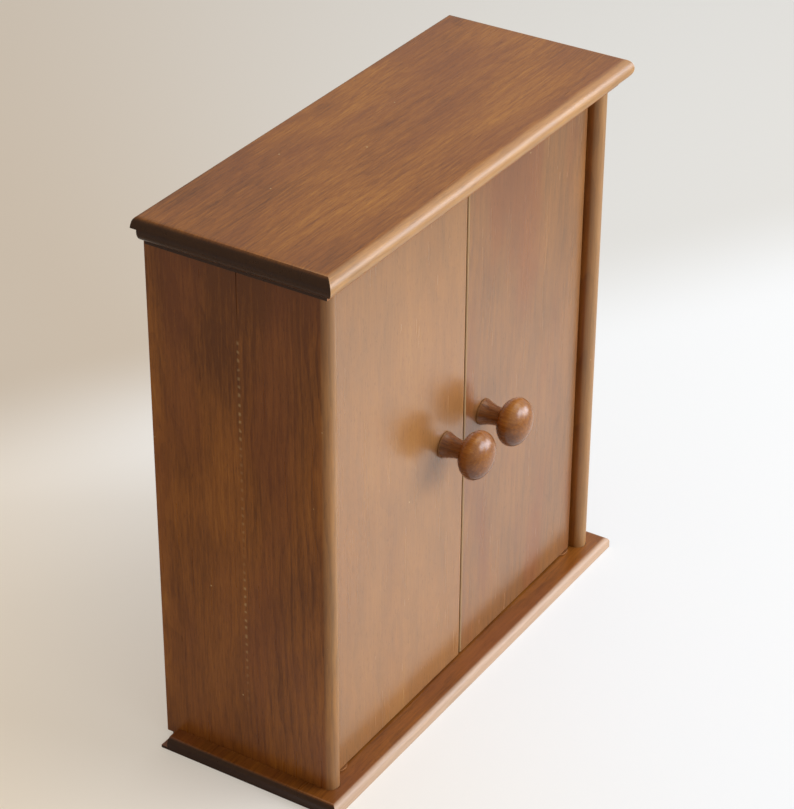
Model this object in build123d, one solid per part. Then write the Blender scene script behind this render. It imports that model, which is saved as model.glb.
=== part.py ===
from build123d import *
import os
from math import acos, degrees

# A small two-door cabinet of stained, lacquered hardwood that stands on a desk.
# Every piece is a solid of its own, in millimetres, in the cabinet's own frame:
# X to the right, Y to the back, Z up. The origin is on the plane that it stands on,
# under the middle of the top board. The doors are drawn closed.

# ---- Carcass ----
total_height = 300.0            # from the table to the top face of the top board
carcass_width = 260.8           # over the outer faces of the two sides
side_thickness = 10.0           # the front edge is a full round of half this radius
side_depth = 100.9
front_board_width = 49.5        # each side is glued from two boards; this is the front one
rear_corner_radius = 0.6        # eased outer corner at the back of a side
housing_clearance = 0.05        # round the end of a board in its groove
housing_end_gap = 0.25          # between the front edge of a side and the end of its groove
rear_notch_depth = 3.6          # both mouldings are cut back this far at their rear ends

# ---- Top board, moulded on its front and ends ----
top_thickness = 14.2
top_nose_radius = 5.75          # half round from the top face down; a fillet stands below it
top_side_overhang = 9.4         # nose past the outer face of a side
top_front_overhang = 7.8        # nose past the front edge of a side
top_rear_radius = 2.0           # upper arris along the rear
top_rear_lip = 4.7              # left above the notch at each rear end
top_groove_depth = 4.0          # holds the upper ends of the sides

# ---- Base board ----
base_thickness = 7.0
base_side_overhang = 10.0
base_front_overhang = 8.0
base_nose_radius = 3.4          # upper arris
base_foot_radius = 0.5          # lower arris
base_rear_toe = 1.8             # left under the notch at each rear end
base_groove_depth = 3.5         # holds the lower ends of the sides

# ---- Back panel ----
back_thickness = 3.6
back_rabbet_width = 5.0         # cut in the inner rear corner of each side
back_side_clearance = 0.3
back_floor_clearance = 0.6

# ---- Shelves ----
shelf_thickness = 7.0
shelf_dado_depth = 3.0
shelf_setback = 5.0             # behind the rear face of the doors
shelf_nose_radius = 1.5
shelf_heights = {"lower_shelf": 93.0, "upper_shelf": 186.0}     # underside over the base board

# ---- Doors ----
door_thickness = 9.5
door_recess = 6.0               # front face behind the front edge of the sides
door_hinge_gap = 0.8
door_meeting_gap = 1.2
door_top_gap = 1.0
door_arris_radius = 0.8
door_hinge_radius = 3.0         # front arris of the hinge edge, which turns past the side

# ---- Pivots: a pin at the foot and the head of each door, a washer under its foot ----
pivot_from_edge = 7.2           # from the hinge edge of the door
pivot_pin_diameter = 4.0
pivot_pin_in_board = 5.0        # length held in the base board and in the top board
pivot_pin_in_door = 10.0
pivot_running_clearance = 0.08
pivot_washer_diameter = 12.5
pivot_washer_thickness = 1.0
pivot_washer_clearance = 0.1    # under the foot of the door

# ---- Turned knobs, each held by a screw from inside its door ----
knob_diameter = 25.4
knob_head_thickness = 16.4
knob_length = 26.8
knob_foot_diameter = 14.1
knob_foot_land = 0.8            # straight rim of the foot
knob_neck_diameter = 10.6       # half way along the neck
knob_waist_diameter = 9.9       # where the neck meets the head
knob_tip_land = 1.2             # flat left by the lathe at the middle of the head
knob_from_meeting_edge = 18.0
knob_above_door_middle = 1.5
knob_screw_diameter = 3.5
knob_screw_in_knob = 10.5
knob_screw_head_diameter = 7.0
knob_screw_head_height = 2.2

# ---- Door stop with its two magnets, and the strikes let into the doors ----
stop_width = 52.0
stop_depth = 10.0
stop_height = 12.0
stop_to_door = 0.3
stop_arris_radius = 1.0
stop_screw_diameter = 3.0
stop_screw_head_diameter = 5.6
stop_screw_length = 17.0
stop_screw_spacing = 40.0
magnet_diameter = 6.0
magnet_length = 5.0
magnet_from_middle = 11.0
strike_diameter = 8.0
strike_thickness = 1.2
strike_tack_diameter = 1.6
strike_tack_length = 4.0

# ---- Dowels, screws and nails of the carcass ----
dowel_diameter = 6.0
dowel_in_top = 6.0
dowel_in_side = 18.0
joint_setback = 24.0            # first dowel or screw behind the front edge of a side
joint_spacing = 52.0
base_screw_diameter = 3.5
base_screw_head_diameter = 6.6
base_screw_length = 30.0
screw_recess = 0.3              # countersunk head below the surface
nail_diameter = 1.6
nail_head_diameter = 3.2
nail_head_thickness = 0.6
nail_length = 16.0
side_nail_from_shelf = 18.0     # above and below each shelf, and from the ends of the side
shelf_nail_offset = 62.0        # either side of the middle, into each shelf
base_nail_offset = 80.0         # either side of the middle, into the base board
fastener_clearance = 0.05
hole_end_gap = 0.5              # past the blind end of a pin or dowel

# ---- Planes and places worked out from the sizes above ----
top_depth = side_depth + top_front_overhang
y_rear = top_depth / 2
y_side_front = y_rear - side_depth
y_glue_line = y_side_front + front_board_width
y_back_front = y_rear - back_thickness
x_outer = carcass_width / 2
x_inner = x_outer - side_thickness
x_side_middle = x_outer - side_thickness / 2
x_rabbet = x_inner + back_rabbet_width
z_base_top = base_thickness
z_under_top = total_height - top_thickness
z_side_foot = z_base_top - base_groove_depth
z_side_head = z_under_top + top_groove_depth
joint_ys = [y_side_front + joint_setback, y_side_front + joint_setback + joint_spacing]
shelf_undersides = {name: z_base_top + height for name, height in shelf_heights.items()}

y_door_front = y_side_front + door_recess
y_door_back = y_door_front + door_thickness
y_door_middle = (y_door_front + y_door_back) / 2
y_shelf_front = y_door_back + shelf_setback
z_door_foot = z_base_top + pivot_washer_thickness + pivot_washer_clearance
z_door_head = z_under_top - door_top_gap
x_door_hinge = x_inner - door_hinge_gap
x_door_meeting = door_meeting_gap / 2
x_pivot = x_door_hinge - pivot_from_edge
x_knob = x_door_meeting + knob_from_meeting_edge
z_knob = (z_door_foot + z_door_head) / 2 + knob_above_door_middle

y_stop_front = y_door_back + stop_to_door
y_stop_middle = y_stop_front + stop_depth / 2
z_stop_foot = z_under_top - stop_height
z_magnet = z_under_top - stop_height / 2

LEFT, BACK, FRONT, UP = (-1, 0, 0), (0, 1, 0), (0, -1, 0), (0, 0, 1)
PAST = 1.0                      # how far a cut runs past the face that it opens


# ---- Shapes that repeat ----
def block(x0, x1, y0, y1, z0, z1):
    """Box between two corners."""
    return Pos((x0 + x1) / 2, (y0 + y1) / 2, (z0 + z1) / 2) * Box(x1 - x0, y1 - y0, z1 - z0)


def rod(diameter, start, along, length):
    """Cylinder whose first end is centred on start and which runs the given way."""
    place = Plane(origin=start, z_dir=along)
    return place * Cylinder(diameter / 2, length, align=(Align.CENTER, Align.CENTER, Align.MIN))


def turned(edges, start, along):
    """Solid of revolution; edges close a half section of radius and distance along the axis."""
    lathe = revolve(Plane.XZ * make_face(edges), Axis.Z)
    return Plane(origin=start, z_dir=along) * lathe


def turned_points(points, start, along):
    """Solid of revolution whose half section has straight sides."""
    return turned(Polyline(*points, close=True).edges(), start, along)


def mirrored(solid):
    """The same piece on the other side of the cabinet."""
    return mirror(solid, about=Plane.YZ)


def wood_screw(start, along, length, shank, head):
    """Countersunk wood screw: flat head at start, cone, shank and pointed tip."""
    cone = (head - shank) / 2
    points = [(0, 0), (head / 2, 0), (shank / 2, cone), (shank / 2, length - shank), (0, length)]
    return turned_points(points, start, along)


def wood_screw_hole(start, along, length, shank, head):
    """Hole for that screw, open to the surface behind its head."""
    wide = head / 2 + fastener_clearance
    narrow = shank / 2 + fastener_clearance
    cone = (head - shank) / 2
    mouth = -screw_recess - PAST
    points = [(0, mouth), (wide, mouth), (wide, 0), (narrow, cone), (narrow, length), (0, length)]
    return turned_points(points, start, along)


def flat_head_nail(start, clearance=0.0):
    """Nail driven forward from the rear face of the back panel, its head flush there."""
    head = rod(nail_head_diameter + 2 * clearance, start, FRONT, nail_head_thickness)
    shank = rod(nail_diameter + 2 * clearance, start, FRONT, nail_length)
    return head + shank


# ---- Top and base boards ----
def top_section(overhang, depth):
    """Edge of the top board: distance out from the side below it, and height."""
    fillet_face = overhang - top_nose_radius
    z_nose_foot = total_height - 2 * top_nose_radius
    edges = [
        Line((-depth, z_under_top), (fillet_face, z_under_top)),
        Line((fillet_face, z_under_top), (fillet_face, z_nose_foot)),
        CenterArc((fillet_face, total_height - top_nose_radius), top_nose_radius, -90, 180),
        Line((fillet_face, total_height), (-depth, total_height)),
        Line((-depth, total_height), (-depth, z_under_top)),
    ]
    return make_face(edges)


def base_section(overhang, depth):
    """Edge of the base board: distance out from the side above it, and height."""
    foot, nose = base_foot_radius, base_nose_radius
    edges = [
        Line((-depth, 0), (overhang - foot, 0)),
        CenterArc((overhang - foot, foot), foot, -90, 90),
        Line((overhang, foot), (overhang, z_base_top - nose)),
        CenterArc((overhang - nose, z_base_top - nose), nose, 0, 90),
        Line((overhang - nose, z_base_top), (-depth, z_base_top)),
        Line((-depth, z_base_top), (-depth, 0)),
    ]
    return make_face(edges)


def moulded_board(section, front_overhang, side_overhang, y_back):
    """Board with one moulding along its front and both ends, mitred at the front corners."""
    x_end = x_outer + side_overhang
    y_front = y_side_front - front_overhang
    front_place = Plane(origin=(x_end, y_side_front, 0), x_dir=FRONT, z_dir=LEFT)
    left_place = Plane(origin=(-x_outer, y_front, 0), x_dir=LEFT, z_dir=BACK)
    front_face = front_place * section(front_overhang, y_back - y_side_front)
    left_face = left_place * section(side_overhang, x_outer)
    along_front = extrude(front_face, 2 * x_end, dir=LEFT)
    left_half = extrude(left_face, y_back - y_front, dir=BACK)
    return along_front & (left_half + mirrored(left_half))


def side_housing(z0, z1, y_back):
    """Waste of the round-ended grooves that hold the ends of both sides."""
    gap = housing_clearance
    width = side_thickness + 2 * gap
    y_end = y_side_front + width / 2 - housing_end_gap
    left = block(-x_outer - gap, -x_inner + gap, y_end, y_back, z0, z1)
    left += rod(width, (-x_side_middle, y_end, z0), UP, z1 - z0)
    return left + mirrored(left)


def rear_notches(overhang, y_back, z0, z1):
    """Waste at the rear end of both end mouldings, outside the sides."""
    x_end = x_outer + overhang + PAST
    left = block(-x_end, -x_outer, y_back - rear_notch_depth, y_back + PAST, z0, z1)
    return left + mirrored(left)


def rear_round():
    """Waste that rounds the upper rear arris of the top board."""
    x_end = x_outer + top_side_overhang + PAST
    y_middle = y_rear - top_rear_radius
    z_middle = total_height - top_rear_radius
    corner = block(-x_end, x_end, y_middle, y_rear + PAST, z_middle, total_height + PAST)
    return corner - rod(2 * top_rear_radius, (x_end, y_middle, z_middle), LEFT, 2 * x_end)


def base_screws(make):
    """The screws, or their holes, up through the base board into the ends of the sides."""
    sizes = (base_screw_length, base_screw_diameter, base_screw_head_diameter)
    starts = [(x, y, screw_recess) for x in (-x_side_middle, x_side_middle) for y in joint_ys]
    return [make(start, UP, *sizes) for start in starts]


def stop_screws(make):
    """The screws, or their holes, up through the door stop into the top board."""
    sizes = (stop_screw_length, stop_screw_diameter, stop_screw_head_diameter)
    offsets = (-stop_screw_spacing / 2, stop_screw_spacing / 2)
    return [make((x, y_stop_middle, z_stop_foot + screw_recess), UP, *sizes) for x in offsets]


def top_dowels(diameter, end_gap):
    """The dowels, or their holes, between the ends of the sides and the top board."""
    length = dowel_in_side + dowel_in_top + end_gap
    foot = z_side_head - dowel_in_side
    places = [(x, y) for x in (-x_side_middle, x_side_middle) for y in joint_ys]
    return [rod(diameter, (x, y, foot), UP, length) for x, y in places]


def pivot_pins(z0, z1, clearance=0.0):
    """Two pins, or their holes, left and right, between two heights."""
    width = pivot_pin_diameter + 2 * clearance
    return [rod(width, (x, y_door_middle, z0), UP, z1 - z0) for x in (-x_pivot, x_pivot)]


def make_top_board():
    """Top board with grooves for the sides and blind holes for dowels, pins and screws."""
    board = moulded_board(top_section, top_front_overhang, top_side_overhang, y_rear)
    board -= rear_round()
    z_lip = total_height - top_rear_lip
    board -= rear_notches(top_side_overhang, y_rear, z_under_top - PAST, z_lip)
    board -= side_housing(z_under_top - PAST, z_side_head, y_rear + PAST)
    dowel_hole = dowel_diameter + 2 * fastener_clearance
    pin_top = z_under_top + pivot_pin_in_board
    for hole in [
        *top_dowels(dowel_hole, hole_end_gap),
        *pivot_pins(z_under_top - PAST, pin_top, fastener_clearance),
        *stop_screws(wood_screw_hole),
    ]:
        board -= hole
    return board


def make_base_board():
    """Base board with grooves for the sides and holes for pins, screws and nails."""
    board = moulded_board(base_section, base_front_overhang, base_side_overhang, y_back_front)
    board -= rear_notches(base_side_overhang, y_back_front, base_rear_toe, z_base_top + PAST)
    board -= side_housing(z_side_foot, z_base_top + PAST, y_back_front + PAST)
    pin_foot = z_base_top - pivot_pin_in_board
    for hole in [
        *pivot_pins(pin_foot, z_base_top + PAST, fastener_clearance),
        *base_screws(wood_screw_hole),
        *back_nails(fastener_clearance),
    ]:
        board -= hole
    return board


# ---- Sides, back panel and shelves ----
def nail_places():
    """Where each nail of the back panel goes: into the sides, the shelves and the base."""
    bays = [z_base_top]
    for underside in shelf_undersides.values():
        bays += [underside, underside + shelf_thickness]
    bays.append(z_under_top)
    side_x = (x_inner + x_rabbet) / 2
    places = []
    for foot, head in zip(bays[::2], bays[1::2]):
        for z in (foot + side_nail_from_shelf, head - side_nail_from_shelf):
            places += [(-side_x, z), (side_x, z)]
    for underside in shelf_undersides.values():
        z = underside + shelf_thickness / 2
        places += [(-shelf_nail_offset, z), (shelf_nail_offset, z)]
    places += [(x, z_base_top / 2) for x in (-base_nail_offset, 0, base_nail_offset)]
    return places


def back_nails(clearance=0.0):
    """The nails of the back panel, or their holes."""
    return [flat_head_nail((x, y_rear, z), clearance) for x, z in nail_places()]


def shelf_dado(underside):
    """Waste of the stopped groove in the left side that holds the end of one shelf."""
    gap = housing_clearance
    depth = x_inner + shelf_dado_depth
    foot, head = underside - gap, underside + shelf_thickness + gap
    return block(-depth, -x_inner + PAST, y_shelf_front - gap, y_back_front + PAST, foot, head)


def cut_left_side(board):
    """Grooves and holes that both boards of the left side take where they cross them."""
    dowel_hole = dowel_diameter + 2 * fastener_clearance
    for waste in [
        *[shelf_dado(underside) for underside in shelf_undersides.values()],
        *top_dowels(dowel_hole, hole_end_gap),
        *base_screws(wood_screw_hole),
        *back_nails(fastener_clearance),
    ]:
        board -= waste
    return board


def make_left_front_board():
    """Front board of the left side, its front edge a full round."""
    nose_y = y_side_front + side_thickness / 2
    edges = [
        Line((-x_inner, nose_y), (-x_inner, y_glue_line)),
        Line((-x_inner, y_glue_line), (-x_outer, y_glue_line)),
        Line((-x_outer, y_glue_line), (-x_outer, nose_y)),
        ThreePointArc((-x_outer, nose_y), (-x_side_middle, y_side_front), (-x_inner, nose_y)),
    ]
    plan = Pos(0, 0, z_side_foot) * make_face(edges)
    return cut_left_side(extrude(plan, z_side_head - z_side_foot, dir=UP))


def make_left_rear_board():
    """Rear board of the left side; its rabbet for the back panel stops under the top board."""
    board = block(-x_outer, -x_inner, y_glue_line, y_rear, z_side_foot, z_side_head)
    outer_corner = board.edges().filter_by(Axis.Z).group_by(Axis.X)[0].sort_by(Axis.Y)[-1]
    board = fillet(outer_corner, rear_corner_radius)
    rabbet_foot = z_side_foot - PAST
    board -= block(-x_rabbet, -x_inner + PAST, y_back_front, y_rear + PAST, rabbet_foot, z_under_top)
    return cut_left_side(board)


def make_back_panel():
    """Plywood back, in the rabbets of the sides and over the rear edge of the base board."""
    width = x_rabbet - back_side_clearance
    panel = block(-width, width, y_back_front, y_rear, back_floor_clearance, z_under_top - housing_clearance)
    for hole in back_nails(fastener_clearance):
        panel -= hole
    return panel


def make_shelf(underside):
    """Shelf housed in both sides, with an eased front edge."""
    width = x_inner + shelf_dado_depth - housing_clearance
    shelf = block(-width, width, y_shelf_front, y_back_front, underside, underside + shelf_thickness)
    shelf = fillet(shelf.edges().filter_by(Axis.X).group_by(Axis.Y)[0], shelf_nose_radius)
    for hole in back_nails(fastener_clearance):
        shelf -= hole
    return shelf


# ---- Door stop and catch ----
def make_door_stop():
    """Block under the top board that the doors close against, with holes for its magnets."""
    stop = block(
        -stop_width / 2, stop_width / 2, y_stop_front, y_stop_front + stop_depth, z_stop_foot, z_under_top
    )
    stop = fillet(stop.edges().group_by(Axis.Z)[0], stop_arris_radius)
    for hole in stop_screws(wood_screw_hole):
        stop -= hole
    for x in (-magnet_from_middle, magnet_from_middle):
        mouth = (x, y_stop_front - PAST, z_magnet)
        stop -= rod(magnet_diameter + 2 * fastener_clearance, mouth, BACK, magnet_length + PAST)
    return stop


def make_left_magnet():
    """Round magnet, flush with the front of the door stop."""
    return rod(magnet_diameter, (-magnet_from_middle, y_stop_front, z_magnet), BACK, magnet_length)


def left_strike(clearance=0.0):
    """Steel disc with a tack, flush with the rear face of the left door, or its hole."""
    place = (-magnet_from_middle, y_door_back, z_magnet)
    disc = rod(strike_diameter + 2 * clearance, place, FRONT, strike_thickness)
    tack_length = strike_thickness + strike_tack_length + clearance
    return disc + rod(strike_tack_diameter + 2 * clearance, place, FRONT, tack_length)


# ---- Doors, knobs and pivots ----
def make_left_door():
    """Left door: a plain board with eased arrises, bored for pins, knob screw and strike."""
    door = block(-x_door_hinge, -x_door_meeting, y_door_front, y_door_back, z_door_foot, z_door_head)
    corners = door.edges().filter_by(Axis.Z)
    hinge_arris = corners.group_by(Axis.X)[0].sort_by(Axis.Y)[0]
    door = fillet(hinge_arris, door_hinge_radius)
    arrises = door.edges().filter_by(Axis.Z).group_by(Axis.X)[-1]
    door = fillet(arrises, door_arris_radius)
    clearance = pivot_running_clearance
    foot_hole = z_door_foot + pivot_pin_in_door + hole_end_gap
    head_hole = z_door_head - pivot_pin_in_door - hole_end_gap
    screw_hole = knob_screw_diameter + 2 * fastener_clearance
    knob_hole_start = (-x_knob, y_door_back + PAST, z_knob)
    for hole in [
        pivot_pins(z_door_foot - PAST, foot_hole, clearance)[0],
        pivot_pins(head_hole, z_door_head + PAST, clearance)[0],
        rod(screw_hole, knob_hole_start, FRONT, door_thickness + 2 * PAST),
        left_strike(fastener_clearance),
    ]:
        door -= hole
    return door


def make_left_knob():
    """Turned knob: a flared foot, a waisted neck and a flattened ball of a head."""
    head_radius = knob_diameter / 2
    half_head = knob_head_thickness / 2
    head_middle = knob_length - half_head
    neck_angle = degrees(acos(knob_waist_diameter / knob_diameter))
    tip_angle = degrees(acos(knob_tip_land / knob_diameter))
    middle = (0, head_middle)
    rear = EllipticalCenterArc(middle, head_radius, half_head, -neck_angle, arc_size=neck_angle)
    front = EllipticalCenterArc(middle, head_radius, half_head, 0, arc_size=tip_angle)
    waist, tip = rear @ 0, front @ 1
    rim = (knob_foot_diameter / 2, knob_foot_land)
    neck_middle = (knob_neck_diameter / 2, (knob_foot_land + waist.Y) / 2)
    edges = [
        Line((0, 0), (rim[0], 0)),
        Line((rim[0], 0), rim),
        ThreePointArc(rim, neck_middle, waist),
        rear,
        front,
        Line(tip, (0, tip.Y)),
        Line((0, tip.Y), (0, 0)),
    ]
    knob = turned(edges, (-x_knob, y_door_front, z_knob), FRONT)
    hole_start = (-x_knob, y_door_front + PAST, z_knob)
    hole_length = knob_screw_in_knob + hole_end_gap + PAST
    return knob - rod(knob_screw_diameter + 2 * fastener_clearance, hole_start, FRONT, hole_length)


def make_left_knob_screw():
    """Domed screw from the rear face of the left door into its knob."""
    shank, rim = knob_screw_diameter / 2, knob_screw_head_diameter / 2
    length = door_thickness + knob_screw_in_knob
    edges = [
        ThreePointArc((0, -knob_screw_head_height), (rim * 0.75, -knob_screw_head_height * 0.7), (rim, 0)),
        Line((rim, 0), (shank, 0)),
        Line((shank, 0), (shank, length - shank)),
        Line((shank, length - shank), (0, length)),
        Line((0, length), (0, -knob_screw_head_height)),
    ]
    return turned(edges, (-x_knob, y_door_back, z_knob), FRONT)


def make_left_washer():
    """Washer on the lower pin, between the base board and the foot of the left door."""
    place = (-x_pivot, y_door_middle, z_base_top)
    hole = pivot_pin_diameter + 2 * pivot_running_clearance
    disc = rod(pivot_washer_diameter, place, UP, pivot_washer_thickness)
    return disc - rod(hole, place, UP, pivot_washer_thickness)


# ---- The whole cabinet ----
nodes = {
    "top_board": make_top_board(),
    "base_board": make_base_board(),
    "back_panel": make_back_panel(),
    "door_stop": make_door_stop(),
}
for shelf_name, shelf_underside in shelf_undersides.items():
    nodes[shelf_name] = make_shelf(shelf_underside)

lower_pins = pivot_pins(z_base_top - pivot_pin_in_board, z_door_foot + pivot_pin_in_door)
upper_pins = pivot_pins(z_door_head - pivot_pin_in_door, z_under_top + pivot_pin_in_board)
left_pieces = {
    "side_front_board": make_left_front_board(),
    "side_rear_board": make_left_rear_board(),
    "door": make_left_door(),
    "knob": make_left_knob(),
    "knob_screw": make_left_knob_screw(),
    "strike": left_strike(),
    "magnet": make_left_magnet(),
    "pivot_washer": make_left_washer(),
    "lower_pivot_pin": lower_pins[0],
    "upper_pivot_pin": upper_pins[0],
}
for name, piece in left_pieces.items():
    nodes["left_" + name] = piece
    nodes["right_" + name] = mirrored(piece)

nodes["top_dowels"] = Compound(children=top_dowels(dowel_diameter, 0.0))
nodes["base_screws"] = Compound(children=base_screws(wood_screw))
nodes["door_stop_screws"] = Compound(children=stop_screws(wood_screw))
nodes["back_panel_nails"] = Compound(children=back_nails())

os.makedirs("parts", exist_ok=True)
for name, piece in nodes.items():
    export_step(piece, f"parts/{name}.step")
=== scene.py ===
"""A small two-door desk cabinet of stained alder: its looks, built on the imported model.

Lengths are metres in the cabinet's own frame: X to the right, Y to the back, Z up.
"""

from math import cos, pi, radians, sin, sqrt

import bmesh
import bpy
from bpy.props import FloatProperty, FloatVectorProperty, PointerProperty
from mathutils import Matrix, Vector


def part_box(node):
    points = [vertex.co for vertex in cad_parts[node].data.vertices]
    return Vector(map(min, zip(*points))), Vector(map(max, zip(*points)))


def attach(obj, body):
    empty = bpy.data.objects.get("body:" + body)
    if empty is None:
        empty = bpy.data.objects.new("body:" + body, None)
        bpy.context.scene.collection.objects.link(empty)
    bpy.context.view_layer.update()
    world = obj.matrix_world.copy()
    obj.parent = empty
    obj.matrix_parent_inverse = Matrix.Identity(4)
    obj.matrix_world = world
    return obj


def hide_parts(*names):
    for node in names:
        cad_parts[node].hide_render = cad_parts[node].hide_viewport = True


bl_info = {
    "name": "Desk Cabinet with Doors",
    "version": (1, 0, 0),
    "blender": (4, 5, 0),
    "location": "3D View > Sidebar > Cabinet",
    "description": "Builds the looks of a small stained cabinet around its packed model",
    "category": "Object",
}

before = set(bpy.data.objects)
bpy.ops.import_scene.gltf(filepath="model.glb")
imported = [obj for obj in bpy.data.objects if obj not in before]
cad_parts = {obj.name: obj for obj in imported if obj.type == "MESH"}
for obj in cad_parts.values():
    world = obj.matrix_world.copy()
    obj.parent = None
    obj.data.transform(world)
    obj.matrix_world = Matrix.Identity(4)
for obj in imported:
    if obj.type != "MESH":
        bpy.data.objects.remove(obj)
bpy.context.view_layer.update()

MM = 0.001
SIDES = ("left", "right")

# Points nearer than this, in metres, are one point
SAME_POINT = 1e-6

# In degrees: faces that meet flatter than the first are one face, sandpaper eased edges
# sharper than the second, and shading creases at the third, on metal at the fourth
FLAT, EASED_ANGLE, CREASE, METAL_CREASE = 0.5, 35, 40, 30

# Steps round the turned pieces, round those seen close, and along the seam's open crack
ROUND, FINE_ROUND, CRACK_STEPS = 64, 96, 8

# Places that the pieces share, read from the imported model
UNDER_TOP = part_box("top_board")[0].z
SIDE_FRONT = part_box("left_side_front_board")[0].y
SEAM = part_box("left_side_front_board")[1].y
SIDE_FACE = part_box("left_side_rear_board")[0].x
DOOR_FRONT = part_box("left_door")[0].y

# The camera that took the photograph
CAMERA_PLACE = (-0.99336, -0.62428, 0.86417)
CAMERA_TURN = (58.608, -0.267, -57.724)
CAMERA_LENS = 120.56
CAMERA_FILM = 36.0

# Directions as that camera sees the floor, and toward the bright side of the room
RIGHTWARD, AWAY = (0.85, -0.53, 0), (0.53, 0.85, 0)
BRIGHT_SIDE = (0.62, -0.75, 0.2)

# How far to the side the backdrop is darkest and palest, from -1 to 1; its darker left is a painted
# shade
BACKDROP_SPREAD = (-0.1, 0.7)

# The lamps: place, width and height in metres, and colour. All aim at the cabinet.
LAMPS = {
    "softbox": ((0.871, -2.1086, 1.2454), 1.3, 1.1, "e4efff"),
    "window": ((1.82, -1.742, 0.52), 1.3, 0.9, "f4f6ff"),
    "overhead": ((0.6, -0.5, 1.4), 0.9, 0.9, "fff0da"),
}
LAMP_AIM = (0, 0, 0.15)

# How far back from its front each rounded edge had its stain wiped off, and how far from
# their meeting line the doors had. On the base's front and along the doors' meeting edge the
# paler wood is partly a painted highlight
TOP_NOSE, BASE_NOSE, SIDE_NOSE = 5.75 * MM, 3.4 * MM, 5 * MM
MEETING_EDGE = 1.25 * MM

# The left side's front edge gets three quarters of the right side's paleness
LEFT_NOSE_WIPED = 0.75

# The washers' bore, the strikes' thickness, and their tack's radius and hollow head
WASHER_BORE, STRIKE, TACK, TACK_DIMPLE = 2.08 * MM, 1.2 * MM, 0.8 * MM, 0.3 * MM


def linear(hex_colour):
    """Linear red, green and blue of an sRGB hex colour."""
    parts = [int(hex_colour[i : i + 2], 16) / 255 for i in (0, 2, 4)]
    return tuple(c / 12.92 if c <= 0.04045 else ((c + 0.055) / 1.055) ** 2.4 for c in parts)


def length(name, description, default):
    """A length in metres that a user may change."""
    settings = {"default": default, "unit": "LENGTH", "subtype": "DISTANCE"}
    return FloatProperty(name=name, description=description, **settings)


def power(name, description, default):
    """A lamp's power in watts."""
    return FloatProperty(name=name, description=description, default=default, unit="POWER")


def colour(name, description, hex_colour):
    """A colour, written as sRGB hex."""
    settings = {"default": linear(hex_colour), "size": 3, "subtype": "COLOR", "min": 0, "max": 2}
    return FloatVectorProperty(name=name, description=description, **settings)


class CabinetSizes(bpy.types.PropertyGroup):
    """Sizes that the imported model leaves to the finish."""

    ease: length("Eased Edge", "How far sandpaper took the sharp edges back", 0.35 * MM)
    fine_ease: length("Fine Eased Edge", "The same on thin boards and plywood", 0.2 * MM)
    crack_length: length("Crack Length", "Open part of the sides' seam", 32 * MM)
    crack_width: length("Crack Width", "Width of the open seam at its mouth", 0.42 * MM)
    crack_depth: length("Crack Depth", "How deep the open seam goes", 2.5 * MM)
    tool_ring: length("Turning Ring", "Depth of the chisel's rings on the knobs", 0.008 * MM)
    chamfer: length("Chamfer", "Edge taken off washers, magnets and strikes", 0.15 * MM)
    recess_depth: length("Recess Depth", "Depth of the cross in the screw heads", 1.3 * MM)
    thread_depth: length("Thread Depth", "How far it stands out of the core", 0.35 * MM)
    thread_pitch: length("Thread Pitch", "Rise of the thread in one turn", 1.4 * MM)


class CabinetColours(bpy.types.PropertyGroup):
    """Colours of the stain, the bare wood and the metals."""

    deep: colour("Stain, Deep", "Where the grain drank most stain", "673811")
    middle: colour("Stain, Middle", "Most of the surface", "94591e")
    pale: colour("Stain, Pale", "Where the grain took little stain", "b67a2f")
    plum: colour("Stain, Plum", "Reddish cast of the wide dark patches", "7f4624")
    # Partly a thin stain and partly a painted haze of reflection, laid on the doors
    tan: colour("Stain, Tan", "Thin stain, as on the doors", "a08a66")
    bare: colour("Worn Edge", "Wood with the stain rubbed off", "c9ad7c")
    # The base's pale front: stain wiped off, and paler still as a painted highlight
    pale_wear_and_painted_highlight: colour("Worn Base", "The front of the base, bleached by wiping", "cab096")
    end: colour("End Grain", "Ends of the boards, soaked with stain", "261108")
    raw: colour("Plywood", "Thin stain on birch plywood", "b58a5a")
    raw_dark: colour("Plywood, Dark", "Darker figure of the plywood", "8f6237")
    beech: colour("Beech Dowel", "Unstained dowel", "c9a37a")
    nickel: colour("Nickel", "Plating of the magnets", "b9b5ad")
    tarnish: colour("Tarnished Zinc", "Dull plating of the washers", "9a6a42")
    zinc: colour("Zinc", "Plating of strikes, screws, nails and pins", "a9a8a2")


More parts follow.
